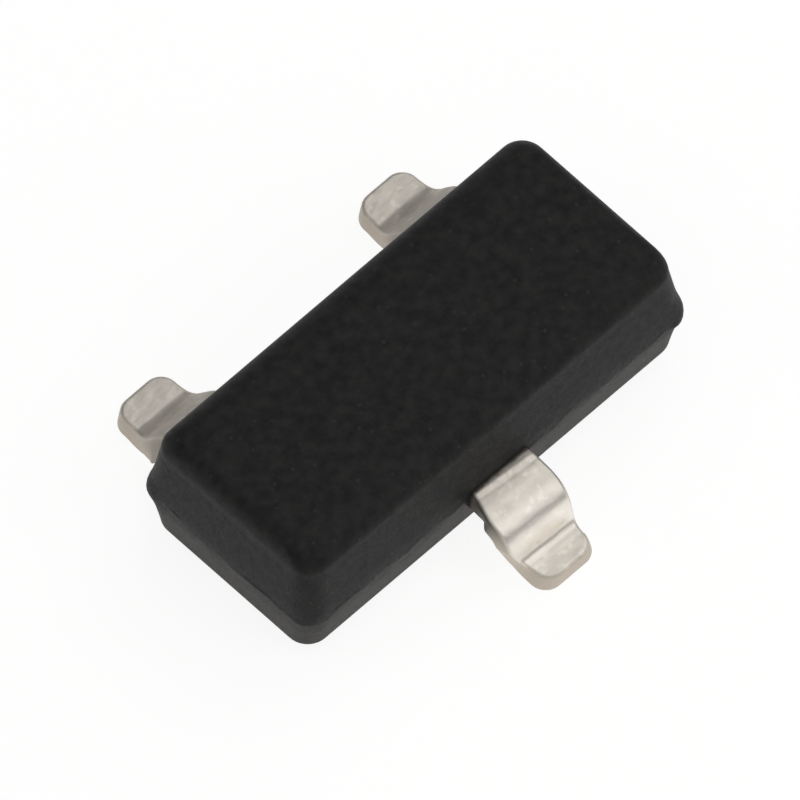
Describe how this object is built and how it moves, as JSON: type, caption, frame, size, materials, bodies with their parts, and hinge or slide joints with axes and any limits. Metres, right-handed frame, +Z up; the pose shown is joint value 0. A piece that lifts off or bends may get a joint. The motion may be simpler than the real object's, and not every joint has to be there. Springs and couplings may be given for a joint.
{
  "type": "sot-23 transistor",
  "caption": "Surface-mount transistor: a small black moulded body with rounded top edges and tinned gull-wing leads on both long sides, with a chip and bond wires sealed inside.",
  "frame": {"origin": "middle of the seating plane, on which the three feet stand", "axes": "+X along the body's length towards the base lead's end, -Y towards the single collector lead, +Z up"},
  "size_m": [0.003, 0.0026, 0.001],
  "materials": {
    "moulding_compound": "black filled epoxy, matt as moulded",
    "tinned_leads": "matt tin plating over a copper alloy strip",
    "silicon": "sawn silicon with a smooth passivated top",
    "silver_paste": "cured silver-filled epoxy",
    "gold_wire": "drawn gold wire"
  },
  "bodies": {
    "root": {"epoxy_body": "moulding_compound", "collector_lead": "tinned_leads", "base_lead": "tinned_leads", "emitter_lead": "tinned_leads", "transistor_chip": "silicon", "chip_bond": "silver_paste", "base_wire": "gold_wire", "emitter_wire": "gold_wire"}
  },
  "joints": []
}
